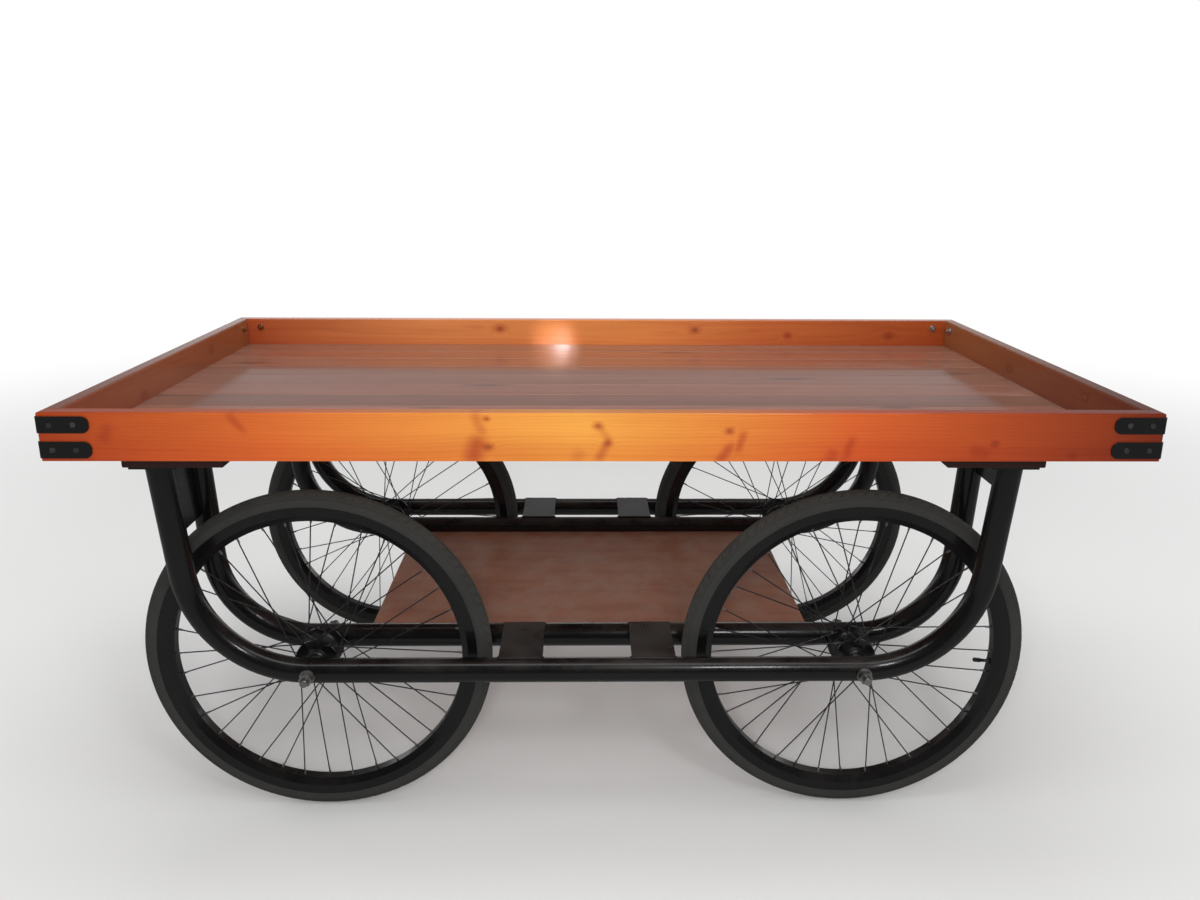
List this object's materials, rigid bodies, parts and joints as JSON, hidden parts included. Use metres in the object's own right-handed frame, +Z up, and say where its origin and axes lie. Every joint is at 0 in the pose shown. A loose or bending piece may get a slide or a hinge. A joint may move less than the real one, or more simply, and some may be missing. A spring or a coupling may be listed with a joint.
{
  "type": "four-wheeled vendor push cart",
  "caption": "Push cart with a shallow varnished plank tray and a low board shelf on bent black tubes, running on spoked cycle-type wheels.",
  "frame": {"origin": "on the ground under the middle of the tray", "axes": "+X along the cart to the right as seen from the near side, +Y across it to the far side, +Z up"},
  "size_m": [2.036, 1.006, 0.906],
  "materials": {
    "varnished_board": "glossy varnish over knotty pine",
    "varnished_plank": "glossy varnish over pine planks",
    "dark_wood": "dark red-brown stain",
    "red_ply": "matt red-brown board",
    "black_paint": "gloss black enamel",
    "dark_steel": "dull dark plating",
    "plain_steel": "dull zinc",
    "tyre": "matt grey-black rubber"
  },
  "bodies": {
    "chassis": {"side_board_near": "varnished_board", "side_board_far": "varnished_board", "end_board_left": "varnished_board", "end_board_right": "varnished_board", "deck_plank_01": "varnished_plank", "deck_plank_02": "varnished_plank", "deck_plank_03": "varnished_plank", "deck_plank_04": "varnished_plank", "deck_plank_05": "varnished_plank", "deck_plank_06": "varnished_plank", "deck_plank_07": "varnished_plank", "deck_plank_08": "varnished_plank", "deck_plank_09": "varnished_plank", "deck_plank_10": "varnished_plank", "bearer_left": "dark_wood", "bearer_right": "dark_wood", "batten_middle": "dark_wood", "outer_tube_near": "black_paint", "inner_tube_near": "black_paint", "rail_ties_near": "black_paint", "outer_tube_far": "black_paint", "inner_tube_far": "black_paint", "rail_ties_far": "black_paint", "cross_bars": "black_paint", "shelf": "red_ply", "corner_straps_near_left": "black_paint", "leg_seat_near_left": "black_paint", "axle_near_left": "plain_steel", "corner_straps_near_right": "black_paint", "leg_seat_near_right": "black_paint", "axle_near_right": "plain_steel", "corner_straps_far_left": "black_paint", "leg_seat_far_left": "black_paint", "axle_far_left": "plain_steel", "corner_straps_far_right": "black_paint", "leg_seat_far_right": "black_paint", "axle_far_right": "plain_steel"},
    "wheel_near_left": {"hub_near_left": "dark_steel", "spokes_near_left": "dark_steel", "rim_near_left": "black_paint", "tyre_near_left": "tyre"},
    "wheel_near_right": {"hub_near_right": "dark_steel", "spokes_near_right": "dark_steel", "rim_near_right": "black_paint", "tyre_near_right": "tyre"},
    "wheel_far_left": {"hub_far_left": "dark_steel", "spokes_far_left": "dark_steel", "rim_far_left": "black_paint", "tyre_far_left": "tyre"},
    "wheel_far_right": {"hub_far_right": "dark_steel", "spokes_far_right": "dark_steel", "rim_far_right": "black_paint", "tyre_far_right": "tyre"}
  },
  "joints": [
    {"name": "near_left_wheel_spin", "type": "hinge", "parent": "chassis", "child": "wheel_near_left", "pos_m": [-0.5855, -0.37, 0.3555], "axis": [0, 1, 0], "continuous": true},
    {"name": "near_right_wheel_spin", "type": "hinge", "parent": "chassis", "child": "wheel_near_right", "pos_m": [0.5175, -0.37, 0.3555], "axis": [0, 1, 0], "continuous": true},
    {"name": "far_left_wheel_spin", "type": "hinge", "parent": "chassis", "child": "wheel_far_left", "pos_m": [-0.5855, 0.37, 0.3555], "axis": [0, 1, 0], "continuous": true},
    {"name": "far_right_wheel_spin", "type": "hinge", "parent": "chassis", "child": "wheel_far_right", "pos_m": [0.5175, 0.37, 0.3555], "axis": [0, 1, 0], "continuous": true}
  ]
}
